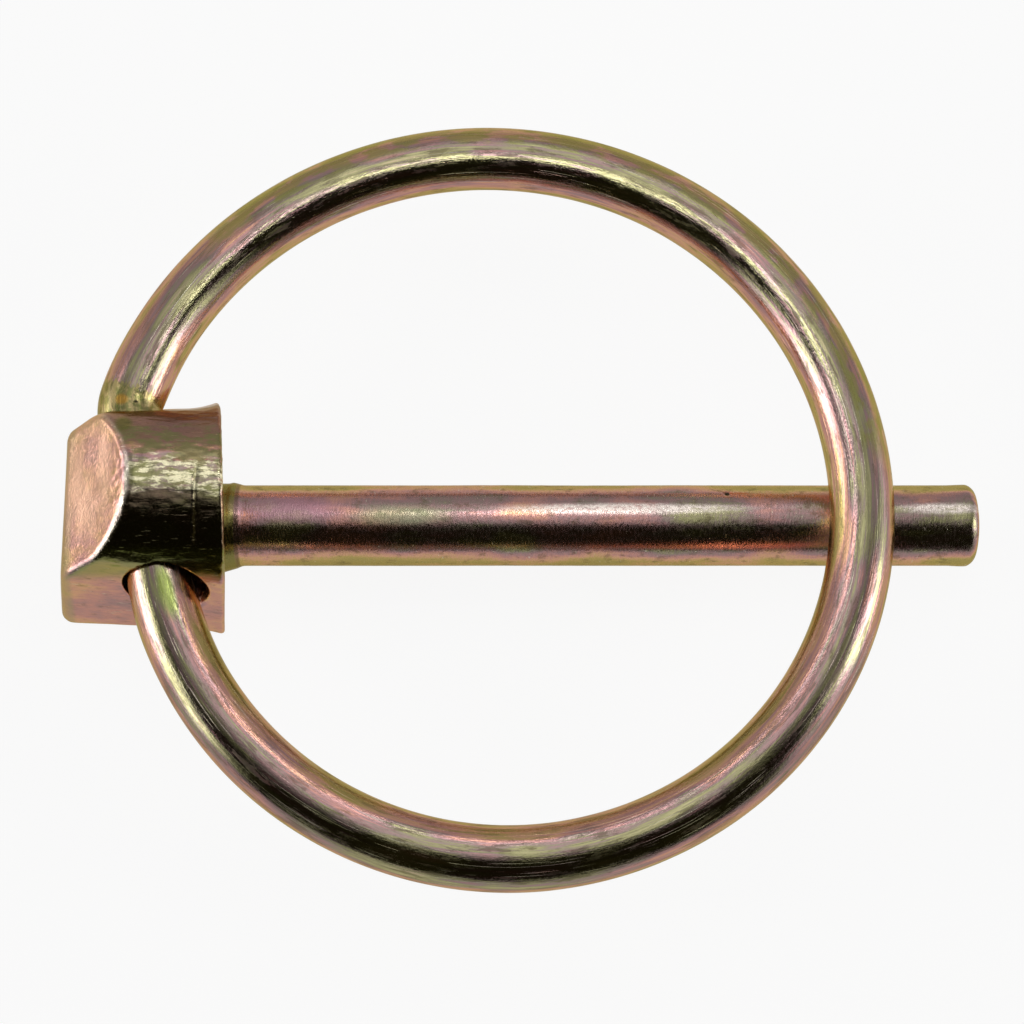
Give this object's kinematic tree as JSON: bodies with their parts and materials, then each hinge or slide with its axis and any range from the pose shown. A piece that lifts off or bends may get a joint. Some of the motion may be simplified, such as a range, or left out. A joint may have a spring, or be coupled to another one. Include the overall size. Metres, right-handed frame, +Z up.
{
  "type": "lynch pin",
  "caption": "Lynch pin: a forged head with a straight round shank, and a sprung wire ring that hinges in the head and snaps round the shank.",
  "frame": {"origin": "the middle of the head's shoulder face, on the shank's axis", "axes": "+X along the shank towards its tip, +Z up from the ground with the pin lying at rest on the flat of its head's back, the ring closed"},
  "size_m": [0.0541, 0.0456, 0.0119],
  "materials": {
    "pin_body": "yellow zinc plated, forged and brushed, iridescent",
    "ring": "yellow zinc plated spring wire, drawn and polished, iridescent"
  },
  "bodies": {
    "pin_body": {"pin_body": "pin_body"},
    "ring": {"ring": "ring"}
  },
  "joints": [
    {"name": "ring_swing", "type": "hinge", "parent": "pin_body", "child": "ring", "pos_m": [-0.00391, 0.00013, 0.00426], "axis": [0.2164, -0.9758, 0.0308], "range_deg": [0, 180]}
  ]
}
